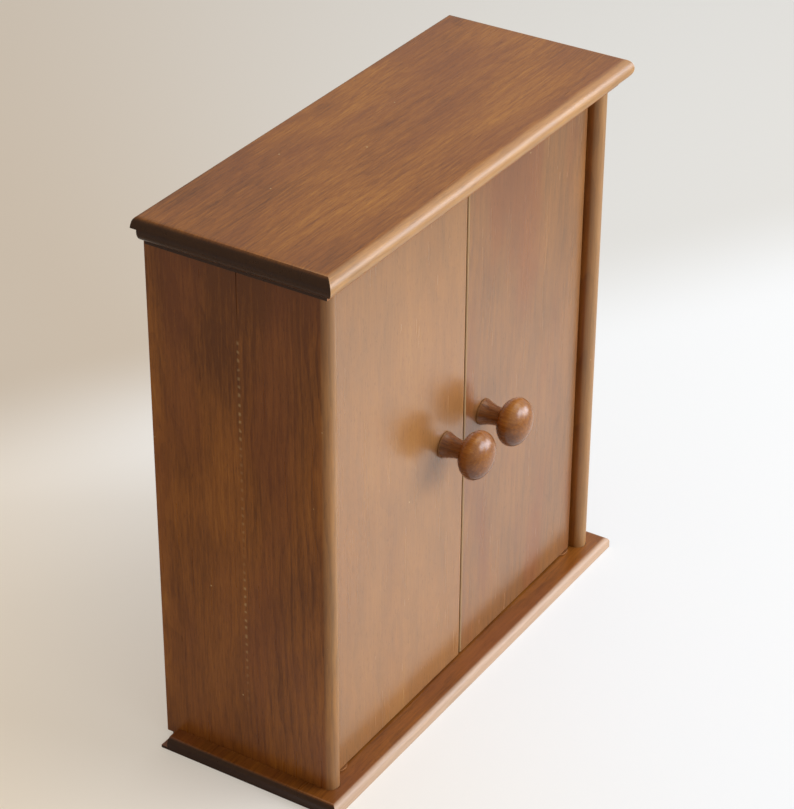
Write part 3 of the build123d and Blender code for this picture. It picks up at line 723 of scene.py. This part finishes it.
class CABINET_OT_stage(bpy.types.Operator):
    """Set the camera, the pale floor, the lamps and the room"""

    bl_idname = "cabinet.set_stage"
    bl_label = "Stage"

    def execute(self, context):
        studio = context.scene.cabinet_studio
        context.scene.view_settings.view_transform = "Standard"
        self.camera(context)
        self.floor(context, studio)
        for name, lamp in LAMPS.items():
            self.lamp(context, name, getattr(studio, f"{name}_power"), *lamp)
        self.room(context, studio)
        return {"FINISHED"}

    def camera(self, context):
        data = bpy.data.cameras.new("photograph")
        data.lens, data.sensor_width, data.clip_start = CAMERA_LENS, CAMERA_FILM, 0.01
        camera = bpy.data.objects.new("photograph", data)
        camera.location = CAMERA_PLACE
        camera.rotation_euler = [radians(a) for a in CAMERA_TURN]
        context.scene.collection.objects.link(camera)
        context.scene.camera = camera

    def floor(self, context, studio):
        shape = bmesh.new()
        bmesh.ops.create_circle(shape, cap_ends=True, segments=FINE_ROUND, radius=studio.floor_radius)
        mesh = bpy.data.meshes.new("floor")
        shape.to_mesh(mesh)
        shape.free()
        floor = bpy.data.objects.new("floor", mesh)
        context.scene.collection.objects.link(floor)
        material, tree = new_material("painted_table")
        ray = add(tree, "ShaderNodeLightPath").outputs
        place = add(tree, "ShaderNodeTexCoord").outputs["Object"]
        way = add(tree, "ShaderNodeVectorMath", {0: place}, operation="NORMALIZE")
        distance = add(tree, "ShaderNodeVectorMath", {0: place}, operation="LENGTH")

        # How far out from the middle a place lies: for reflections, for the backdrop, and for
        # the evenness of the floor, which the shadow fill starts
        shares = []
        for start, end, least in ((0.28, 0.66, 0), (0.8, 1.5, 0), (0.95, 1.6, studio.fill)):
            out = {"From Min": start, "From Max": end, "To Min": least}
            out["Value"] = distance.outputs["Value"]
            shares.append(add(tree, "ShaderNodeMapRange", out, **SMOOTH))
        mirror_out, far_out, even = shares

        # Beige at the left as a painted shade, white at the right, and dimmer behind the cabinet and a
        # metre away, darker again at the left as a painted shade
        rightward = share(tree, place, RIGHTWARD, -0.45, 0.12)
        aside = share(tree, way.outputs["Vector"], RIGHTWARD, *BACKDROP_SPREAD)
        away = {0: share(tree, place, AWAY, 0.22, 0.36), 1: far_out}
        away = add(tree, "ShaderNodeMath", away, operation="MAXIMUM")
        far = layered(tree, (*studio.far_floor_left_painted_shade, 1), [(aside, studio.far_right)])
        seen = layered(tree, (*studio.floor_left_painted_shade, 1), [(rightward, studio.floor_right), (away, far)])
        # Painted reflection: the floor as reflections show it, dark at the left as a painted shade
        coats = [(rightward, studio.painted_reflection_floor_right), (mirror_out, studio.painted_reflection_floor_far)]
        painted_floor_reflection = layered(tree, (*studio.painted_reflection_floor_left, 1), coats)
        coats = [(ray["Is Glossy Ray"], painted_floor_reflection), (ray["Is Camera Ray"], seen)]
        lit = add(tree, "ShaderNodeBsdfDiffuse", {"Color": layered(tree, (*studio.floor, 1), coats)})

        # For the camera the shadows are filled a little, and beyond a metre the floor is even
        even = add(tree, "ShaderNodeMath", {0: even, 1: ray["Is Camera Ray"]}, operation="MULTIPLY")
        plain = add(tree, "ShaderNodeEmission", {"Color": seen})
        shader = add(tree, "ShaderNodeMixShader", {0: even, 1: lit, 2: plain})
        add(tree, "ShaderNodeOutputMaterial", {"Surface": shader})
        mesh.materials.append(material)

    def lamp(self, context, name, watts, place, width, height, tint):
        data = bpy.data.lights.new(name, "AREA")
        data.shape, data.size, data.size_y = "RECTANGLE", width, height
        data.energy, data.color = watts, linear(tint)
        lamp = bpy.data.objects.new(name, data)
        lamp.location = place
        lamp.rotation_euler = (lamp.location - Vector(LAMP_AIM)).to_track_quat("Z", "Y").to_euler()
        context.scene.collection.objects.link(lamp)

    def room(self, context, studio):
        world = bpy.data.worlds.new("room")
        world.use_nodes = True
        tree = world.node_tree
        tree.nodes.clear()
        ray = add(tree, "ShaderNodeLightPath")
        way = add(tree, "ShaderNodeTexCoord").outputs["Object"]

        # The camera sees behind the floor what it sees far away on the floor, darker at the left as a
        # painted shade
        brightness = share(tree, way, BRIGHT_SIDE, -0.5, 0.9)
        aside = share(tree, way, RIGHTWARD, *BACKDROP_SPREAD)
        backdrop = layered(tree, (*studio.far_floor_left_painted_shade, 1), [(aside, studio.far_right)])
        coats = [(brightness, studio.room_bright), (ray.outputs["Is Camera Ray"], backdrop)]
        walls = layered(tree, (*studio.room_dark, 1), coats)
        shader = add(tree, "ShaderNodeBackground", {"Color": walls})
        add(tree, "ShaderNodeOutputWorld", {"Surface": shader})
        context.scene.world = world


class CABINET_OT_top(bpy.types.Operator):
    """Make the moulded top board"""

    bl_idname = "cabinet.make_top"
    bl_label = "Top Board"

    def execute(self, context):
        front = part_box("top_board")[0].y

        def wiped(place):
            return wiped_off(place.y - front, TOP_NOSE)

        piece = eased_board("top_board", "moulded_top", context.scene.cabinet_sizes.ease, wiped)
        finished(piece, wood("alder_top"), "stained_top", "carcass", "top_board")
        return {"FINISHED"}


class CABINET_OT_base(bpy.types.Operator):
    """Make the rounded base board"""

    bl_idname = "cabinet.make_base"
    bl_label = "Base Board"

    def execute(self, context):
        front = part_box("base_board")[0].y

        # Its paler front is partly stain wiped off and partly a painted highlight
        def wiped(place):
            return wiped_off(place.y - front, BASE_NOSE)

        piece = eased_board("base_board", "rounded_base", context.scene.cabinet_sizes.fine_ease, wiped)
        finished(piece, wood("alder_base"), "stained_base", "carcass", "base_board")
        return {"FINISHED"}


class CABINET_OT_sides(bpy.types.Operator):
    """Make both sides, each of two boards with an open crack at the head of the seam"""

    bl_idname = "cabinet.make_sides"
    bl_label = "Sides"

    def execute(self, context):
        sizes = context.scene.cabinet_sizes
        for side in SIDES:
            outward = -1 if side == "left" else 1
            for board in ("front", "rear"):
                into = -1 if board == "front" else 1

                def crack(shape):
                    """Opens the seam: its outer edge steps back, most at the top."""
                    foot = UNDER_TOP - sizes.crack_length
                    for i in range(CRACK_STEPS + 1):
                        cut = Vector((0, 0, foot + sizes.crack_length * i / CRACK_STEPS))
                        self.cut(shape, cut, (0, 0, 1))
                    depth = abs(SIDE_FACE) - sizes.crack_depth
                    self.cut(shape, Vector((outward * depth, 0, 0)), (1, 0, 0))
                    for vertex in shape.verts:
                        place = vertex.co
                        on_seam = abs(place.y - SEAM) < SAME_POINT
                        on_seam = on_seam and abs(place.x) > abs(SIDE_FACE) - SAME_POINT
                        if on_seam and place.z > foot + 10 * SAME_POINT:
                            rise = min(1.0, (place.z - foot) / sizes.crack_length)
                            place.y += into * sizes.crack_width / 2 * sqrt(rise)

                def keep(edge):
                    return all(abs(v.co.y - SEAM) < sizes.crack_width for v in edge.verts)

                def wiped(place):
                    if board == "rear":
                        return 0.0
                    most = LEFT_NOSE_WIPED if side == "left" else 1.0
                    return most * wiped_off(place.y - SIDE_FRONT, SIDE_NOSE)

                node = f"{side}_side_{board}_board"
                piece = eased_board(node, f"{side}_{board}_stave", sizes.ease, wiped, keep, crack)
                finished(piece, wood(f"alder_side_{board}"), "stained_side", "carcass", node)
        return {"FINISHED"}

    def cut(self, shape, place, normal):
        geometry = shape.verts[:] + shape.edges[:] + shape.faces[:]
        near_plane = SAME_POINT / 10
        bmesh.ops.bisect_plane(shape, geom=geometry, dist=near_plane, plane_co=place, plane_no=normal)


class CABINET_OT_inside(bpy.types.Operator):
    """Make the shelves, the door stop and the plywood back"""

    bl_idname = "cabinet.make_inside"
    bl_label = "Shelves, Stop and Back"

    def execute(self, context):
        for node, name, make, slot in (
            ("lower_shelf", "lower_shelf_board", "alder_shelf", "shelf_wood"),
            ("upper_shelf", "upper_shelf_board", "alder_shelf", "shelf_wood"),
            ("door_stop", "stop_block", "alder_shelf", "shelf_wood"),
            ("back_panel", "plywood_back", "birch_plywood", "back_plywood"),
        ):
            piece = eased_board(node, name, context.scene.cabinet_sizes.fine_ease)
            material = birch_plywood() if make == "birch_plywood" else wood(make)
            finished(piece, material, slot, "carcass", node)
        return {"FINISHED"}


class CABINET_OT_doors(bpy.types.Operator):
    """Make both doors"""

    bl_idname = "cabinet.make_doors"
    bl_label = "Doors"

    def execute(self, context):
        for side in SIDES:

            # Stain wiped off along the meeting edge, its paler line partly a painted highlight
            def wiped(place):
                return float(abs(place.x) < MEETING_EDGE and place.y < DOOR_FRONT + 1 * MM)

            ease = context.scene.cabinet_sizes.ease
            piece = eased_board(f"{side}_door", f"{side}_leaf_board", ease, wiped)
            finished(piece, wood(f"alder_door_{side}"), "stained_door", f"{side}_leaf", f"{side}_door")
        return {"FINISHED"}


class CABINET_OT_knobs(bpy.types.Operator):
    """Make both turned knobs"""

    bl_idname = "cabinet.make_knobs"
    bl_label = "Knobs"

    def execute(self, context):
        for side in SIDES:
            low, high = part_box(f"{side}_knob")
            foot = Vector(((low.x + high.x) / 2, high.y, (low.z + high.z) / 2))
            profile = self.profile(high.x - low.x, high.y - low.y, context.scene.cabinet_sizes.tool_ring)
            piece = turned(f"{side}_turned_knob", profile, foot, (0, -1, 0), steps=FINE_ROUND)

            # Rubbed at the foot's rim, half as much as an eased edge
            wear = piece.data.attributes.new("wear", "FLOAT", "POINT")
            for vertex, value in zip(piece.data.vertices, wear.data):
                value.value = 0.5 * near(high.y - vertex.co.y, 0.8 * MM, 0.5 * MM)
            finished(piece, wood("alder_knob"), "stained_knob", f"{side}_leaf", f"{side}_knob")
        return {"FINISHED"}

    def profile(self, width, reach, ring):
        """Half section: flared foot, waisted neck and a head like a flattened ball."""
        # Radii of the foot's rim, the neck and the waist; the rim's thickness, and half the head's
        rim, neck, waist = 7.05 * MM, 5.3 * MM, 4.95 * MM
        land, half = 0.8 * MM, 8.2 * MM
        head, middle = width / 2, reach - half
        turn_in = sqrt(1 - (waist / head) ** 2)
        d_waist = middle - half * turn_in
        d_neck = (land + d_waist) / 2
        points = [(0, 0), (rim - 0.25 * MM, 0), (rim, 0.2 * MM), (rim, land - 0.15 * MM)]

        # The flare: a smooth curve through the three radii
        steps = 18
        for i in range(1, steps):
            d = land + (d_waist - land) * i / steps
            radius = (
                rim * (d - d_neck) * (d - d_waist) / ((land - d_neck) * (land - d_waist))
                + neck * (d - land) * (d - d_waist) / ((d_neck - land) * (d_neck - d_waist))
                + waist * (d - land) * (d - d_neck) / ((d_waist - land) * (d_waist - d_neck))
            )
            points.append((radius, d))

        # The head, with a ring from the chisel about every three steps
        first = -Vector((1, 0)).angle(Vector((waist / head, turn_in)))
        steps, beat = 64, 2.1
        for i in range(steps):
            a = first + (pi / 2 - first) * i / steps
            groove = ring * (1 + cos(i * beat)) / 2
            points.append(((head - groove) * cos(a), middle + (half - groove) * sin(a)))
        points.append((0, middle + half - ring))
        return points


class CABINET_OT_metal(bpy.types.Operator):
    """Make washers, magnets and strikes, and finish the pins and dowels"""

    bl_idname = "cabinet.make_metal"
    bl_label = "Pivots and Catch"

    def execute(self, context):
        chamfer = context.scene.cabinet_sizes.chamfer
        for side in SIDES:
            low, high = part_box(f"{side}_pivot_washer")
            foot = ((low.x + high.x) / 2, (low.y + high.y) / 2, low.z)
            outer, thick = (high.x - low.x) / 2, high.z - low.z
            profile = [
                (WASHER_BORE, 0), (outer - chamfer, 0), (outer, chamfer), (outer, thick - chamfer),
                (outer - chamfer, thick), (WASHER_BORE + chamfer, thick), (WASHER_BORE, thick - chamfer),
            ]
            name = f"{side}_washer_ring"
            shape = {"steps": FINE_ROUND, "ring": True, "crease": METAL_CREASE}
            piece = turned(name, profile, foot, (0, 0, 1), **shape)
            finished(piece, plated("tarnished_zinc"), "washer_steel", "carcass", f"{side}_pivot_washer")

            low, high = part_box(f"{side}_magnet")
            face = ((low.x + high.x) / 2, low.y, (low.z + high.z) / 2)
            radius, deep = (high.x - low.x) / 2, high.y - low.y
            profile = [(0, 0), (radius - chamfer, 0), (radius, chamfer), (radius, deep), (0, deep)]
            piece = turned(f"{side}_catch_magnet", profile, face, (0, 1, 0), crease=METAL_CREASE)
            finished(piece, plated("nickel_plating"), "nickel_magnet", "carcass", f"{side}_magnet")

            low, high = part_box(f"{side}_strike")
            face = ((low.x + high.x) / 2, high.y, (low.z + high.z) / 2)
            radius, deep = (high.x - low.x) / 2, high.y - low.y
            profile = [
                (0, TACK_DIMPLE), (TACK, 0.4 * TACK_DIMPLE), (TACK + chamfer, 0), (radius - chamfer, 0),
                (radius, chamfer), (radius, STRIKE), (TACK, STRIKE), (TACK, deep - TACK), (0, deep),
            ]
            piece = turned(f"{side}_strike_disc", profile, face, (0, -1, 0), crease=METAL_CREASE)
            finished(piece, plated("zinc_plating"), "washer_steel", f"{side}_leaf", f"{side}_strike")

            for pin in (f"{side}_lower_pivot_pin", f"{side}_upper_pivot_pin"):
                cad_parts[pin].material_slots[0].material = plated("zinc_plating")
        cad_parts["top_dowels"].material_slots[0].material = beech()
        return {"FINISHED"}


def fastener_tree():
    """Geometry nodes for nails and screws: a turned shape at every point, driven one way.

    Its outline is eight points, each a depth and a radius worked out from the named sizes. A
    screw gets a thread and a cross recess, a nail neither.
    """
    tree = bpy.data.node_groups.new("driven_fasteners", "GeometryNodeTree")
    sockets = {}
    for name, kind, default in (
        ("Places", "Geometry", None),
        ("Head Diameter", "Float", 6.6 * MM),
        ("Head Height", "Float", 1.5 * MM),
        ("Head Rim", "Float", 0.1 * MM),
        ("Shank Diameter", "Float", 3.5 * MM),
        ("Length", "Float", 30 * MM),
        ("Thread Depth", "Float", 0.0),
        ("Thread Pitch", "Float", 1.4 * MM),
        ("Recess Width", "Float", 0.9 * MM),
        ("Recess Depth", "Float", 0.0),
        ("Driven", "Vector", (0, 0, 1)),
        ("Seed", "Int", 4),
        ("Finish", "Material", None),
    ):
        socket = tree.interface.new_socket(name=name, in_out="INPUT", socket_type=f"NodeSocket{kind}")
        if default is not None:
            socket.default_value = default
        sockets[name] = socket.identifier
    tree.interface.new_socket(name="Fasteners", in_out="OUTPUT", socket_type="NodeSocketGeometry")
    given = add(tree, "NodeGroupInput").outputs

    # What follows from the given sizes: for the outline, the recess and the thread
    sizes = {name: given[name] for name in sockets}
    for name, operation, first, second in (
        ("head", "MULTIPLY", "Head Diameter", 0.5),
        ("shank", "MULTIPLY", "Shank Diameter", 0.5),
        ("core", "SUBTRACT", "shank", "Thread Depth"),
        ("face", "SUBTRACT", "head", "Head Rim"),
        ("crown", "MULTIPLY", "face", 0.5),
        ("neck", "ADD", "Head Height", "Head Rim"),
        ("point", "SUBTRACT", "Length", "Shank Diameter"),
        ("tip", "MULTIPLY", "core", 0.06),
        ("recess reach", "MULTIPLY", "Head Diameter", 0.58),
        ("cutter", "MULTIPLY", "Recess Depth", 2.0),
        ("room", "SUBTRACT", "point", "Head Height"),
        ("thread", "MULTIPLY", "room", 0.72),
        ("turns", "DIVIDE", "thread", "Thread Pitch"),
        ("start", "SUBTRACT", "point", "thread"),
    ):
        values = {0: sizes[first], 1: sizes.get(second, second)}
        sizes[name] = add(tree, "ShaderNodeMath", values, operation=operation)

    # The outline, from the head's face to the tip, turned
    outline = (
        (0.0, 0.02 * MM), (0.0, "crown"), (0.0, "face"), ("Head Rim", "head"),
        ("Head Height", "core"), ("neck", "core"), ("point", "core"), ("Length", "tip"),
    )
    index = add(tree, "GeometryNodeInputIndex")
    switches = []
    for column in zip(*outline):
        switch = add(tree, "GeometryNodeIndexSwitch", {"Index": index}, data_type="FLOAT")
        while len(switch.index_switch_items) < len(outline):
            switch.index_switch_items.new()
        connect(tree, switch, {i: sizes.get(value, value) for i, value in enumerate(column, 1)})
        switches.append(switch)
    depths, radii = switches
    line = add(tree, "GeometryNodeMeshLine", {"Count": len(outline), "Offset": (0, 0, 0.1 * MM)})
    spot = add(tree, "ShaderNodeCombineXYZ", {"Z": depths})
    line = add(tree, "GeometryNodeSetPosition", {"Geometry": line, "Position": spot})
    line = add(tree, "GeometryNodeMeshToCurve", {"Mesh": line})
    circle = add(tree, "GeometryNodeCurvePrimitiveCircle", {"Resolution": 24, "Radius": 1.0})
    body = {"Curve": line, "Profile Curve": circle, "Scale": radii, "Fill Caps": True}
    body = add(tree, "GeometryNodeCurveToMesh", body)

    # The cross recess, cut into the head where the recess has a depth
    slotted = body
    for long, narrow in ("XY", "YX"):
        bar = {long: sizes["recess reach"], narrow: given["Recess Width"], "Z": sizes["cutter"]}
        bar = add(tree, "ShaderNodeCombineXYZ", bar)
        bar = add(tree, "GeometryNodeMeshCube", {"Size": bar})
        slotted = {"Mesh 1": slotted, "Mesh 2": bar}
        slotted = add(tree, "GeometryNodeMeshBoolean", slotted, operation="DIFFERENCE", solver="EXACT")
    recessed = {0: given["Recess Depth"], 1: 0.01 * MM}
    recessed = add(tree, "FunctionNodeCompare", recessed, operation="GREATER_THAN")
    body = {"Switch": recessed, "False": body, "True": slotted}
    body = add(tree, "GeometryNodeSwitch", body, input_type="GEOMETRY")

    # The thread, where it has a depth: a ridge wound round the core, up to the point
    helix = {"Resolution": 20, "Rotations": sizes["turns"], "Height": sizes["thread"]}
    helix |= {"Start Radius": sizes["core"], "End Radius": sizes["core"]}
    helix = add(tree, "GeometryNodeCurveSpiral", helix)
    start = add(tree, "ShaderNodeCombineXYZ", {"Z": sizes["start"]})
    helix = add(tree, "GeometryNodeTransform", {"Geometry": helix, "Translation": start})
    ridge = {"Resolution": 4, "Radius": given["Thread Depth"]}
    ridge = add(tree, "GeometryNodeCurvePrimitiveCircle", ridge)
    thread = {"Curve": helix, "Profile Curve": ridge, "Fill Caps": True}
    thread = add(tree, "GeometryNodeCurveToMesh", thread)
    threaded = {0: given["Thread Depth"], 1: 0.01 * MM}
    threaded = add(tree, "FunctionNodeCompare", threaded, operation="GREATER_THAN")
    thread = {"Switch": threaded, "True": thread}
    thread = add(tree, "GeometryNodeSwitch", thread, input_type="GEOMETRY")
    whole = add(tree, "GeometryNodeJoinGeometry")
    for part in (thread, body):
        tree.links.new(part.outputs[0], whole.inputs[0])

    # One at each place, driven the given way and turned at random about its axis
    places = add(tree, "GeometryNodeMeshToPoints", {"Mesh": given["Places"]})
    aim = add(tree, "FunctionNodeAlignRotationToVector", {"Vector": given["Driven"]}, axis="Z")
    spin = {2: 0.0, 3: 2 * pi, "Seed": given["Seed"]}
    spin = add(tree, "FunctionNodeRandomValue", spin, data_type="FLOAT")
    spin = add(tree, "ShaderNodeCombineXYZ", {"Z": spin.outputs[1]})
    aim = {"Rotation": aim, "Rotate By": spin}
    aim = add(tree, "FunctionNodeRotateRotation", aim, rotation_space="LOCAL")
    copies = {"Points": places, "Instance": whole, "Rotation": aim}
    copies = add(tree, "GeometryNodeInstanceOnPoints", copies)
    copies = add(tree, "GeometryNodeRealizeInstances", {"Geometry": copies})
    finish = {"Geometry": copies, "Material": given["Finish"]}
    copies = add(tree, "GeometryNodeSetMaterial", finish)
    add(tree, "NodeGroupOutput", {0: copies})
    return tree, sockets


def heads(node, axis, at_high):
    """Where each loose solid of a node has its head: the middle of its end face."""
    shape = bmesh.new()
    shape.from_mesh(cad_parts[node].data)
    bmesh.ops.remove_doubles(shape, verts=shape.verts, dist=SAME_POINT)
    found, left = [], set(shape.verts)
    while left:
        todo, part = [left.pop()], []
        while todo:
            vertex = todo.pop()
            part.append(vertex.co.copy())
            for edge in vertex.link_edges:
                other = edge.other_vert(vertex)
                if other in left:
                    left.remove(other)
                    todo.append(other)
        low = Vector([min(co[i] for co in part) for i in range(3)])
        high = Vector([max(co[i] for co in part) for i in range(3)])
        place = (low + high) / 2
        place[axis] = high[axis] if at_high else low[axis]
        found.append(place)
    shape.free()
    return sorted(found, key=lambda place: tuple(round(c, 5) for c in place))


class CABINET_OT_fasteners(bpy.types.Operator):
    """Make the nails of the back and all screws"""

    bl_idname = "cabinet.make_fasteners"
    bl_label = "Nails and Screws"

    def execute(self, context):
        sizes = context.scene.cabinet_sizes
        tree, sockets = fastener_tree()
        nail = {
            "Head Diameter": 3.2 * MM, "Head Height": 0.6 * MM, "Head Rim": 0.15 * MM,
            "Shank Diameter": 1.6 * MM, "Length": 16 * MM, "Driven": (0, -1, 0),
        }
        screw = {
            "Thread Depth": sizes.thread_depth, "Thread Pitch": sizes.thread_pitch,
            "Recess Depth": sizes.recess_depth, "Driven": (0, 0, 1),
        }
        base_screw = screw | {
            "Head Diameter": 6.6 * MM, "Head Height": 1.55 * MM, "Head Rim": 0.12 * MM,
            "Shank Diameter": 3.5 * MM, "Length": 30 * MM,
        }
        stop_screw = screw | {
            "Head Diameter": 5.6 * MM, "Head Height": 1.3 * MM, "Head Rim": 0.12 * MM,
            "Shank Diameter": 3.0 * MM, "Length": 17 * MM, "Recess Width": 0.75 * MM,
        }
        knob_screw = screw | {
            "Head Diameter": 7 * MM, "Head Height": 2.2 * MM, "Head Rim": 0.35 * MM,
            "Shank Diameter": 3.5 * MM, "Length": 22.2 * MM, "Driven": (0, -1, 0),
        }
        self.drive(tree, sockets, "panel_nails", "back_panel_nails", nail, 1, True, "carcass")
        self.drive(tree, sockets, "base_fixings", "base_screws", base_screw, 2, False, "carcass")
        self.drive(tree, sockets, "stop_fixings", "door_stop_screws", stop_screw, 2, False, "carcass")
        for side in SIDES:
            node = f"{side}_knob_screw"
            self.drive(tree, sockets, f"{side}_knob_fixing", node, knob_screw, 1, True, f"{side}_leaf")
        return {"FINISHED"}

    def drive(self, tree, sockets, name, node, sizes, axis, at_high, body):
        """Puts a fastener at every head of a node and makes one plain mesh of them."""
        mesh = bpy.data.meshes.new(name)
        mesh.from_pydata(heads(node, axis, at_high), [], [])
        piece = bpy.data.objects.new(name, mesh)
        bpy.context.scene.collection.objects.link(piece)
        nodes = piece.modifiers.new("Fasteners", "NODES")
        nodes.node_group = tree
        for key, value in (sizes | {"Finish": plated("zinc_plating")}).items():
            nodes[sockets[key]] = value
        evaluated_copy(piece)
        finished(piece, plated("zinc_plating"), "fastener_steel", body, node)


class CABINET_PT_pieces(bpy.types.Panel):
    """Lists what the cabinet is built of, in the order in which it is made"""

    bl_idname = "CABINET_PT_pieces"
    bl_label = "Desk Cabinet"
    bl_space_type = "VIEW_3D"
    bl_region_type = "UI"
    bl_category = "Cabinet"

    def draw(self, context):
        for operator in OPERATORS:
            self.layout.operator(operator.bl_idname)


GROUPS = {
    "cabinet_sizes": CabinetSizes,
    "cabinet_colours": CabinetColours,
    "cabinet_studio": CabinetStudio,
}
OPERATORS = (
    CABINET_OT_stage,
    CABINET_OT_top,
    CABINET_OT_base,
    CABINET_OT_sides,
    CABINET_OT_inside,
    CABINET_OT_doors,
    CABINET_OT_knobs,
    CABINET_OT_metal,
    CABINET_OT_fasteners,
)


def register():
    for cls in (*GROUPS.values(), *OPERATORS, CABINET_PT_pieces):
        bpy.utils.register_class(cls)
    for name, group in GROUPS.items():
        setattr(bpy.types.Scene, name, PointerProperty(type=group))


def unregister():
    for name in GROUPS:
        delattr(bpy.types.Scene, name)
    for cls in (CABINET_PT_pieces, *reversed(OPERATORS), *reversed(GROUPS.values())):
        bpy.utils.unregister_class(cls)


def main():
    register()
    for operator in OPERATORS:
        group, name = operator.bl_idname.split(".")
        getattr(getattr(bpy.ops, group), name)()


if __name__ == "__main__":
    main()
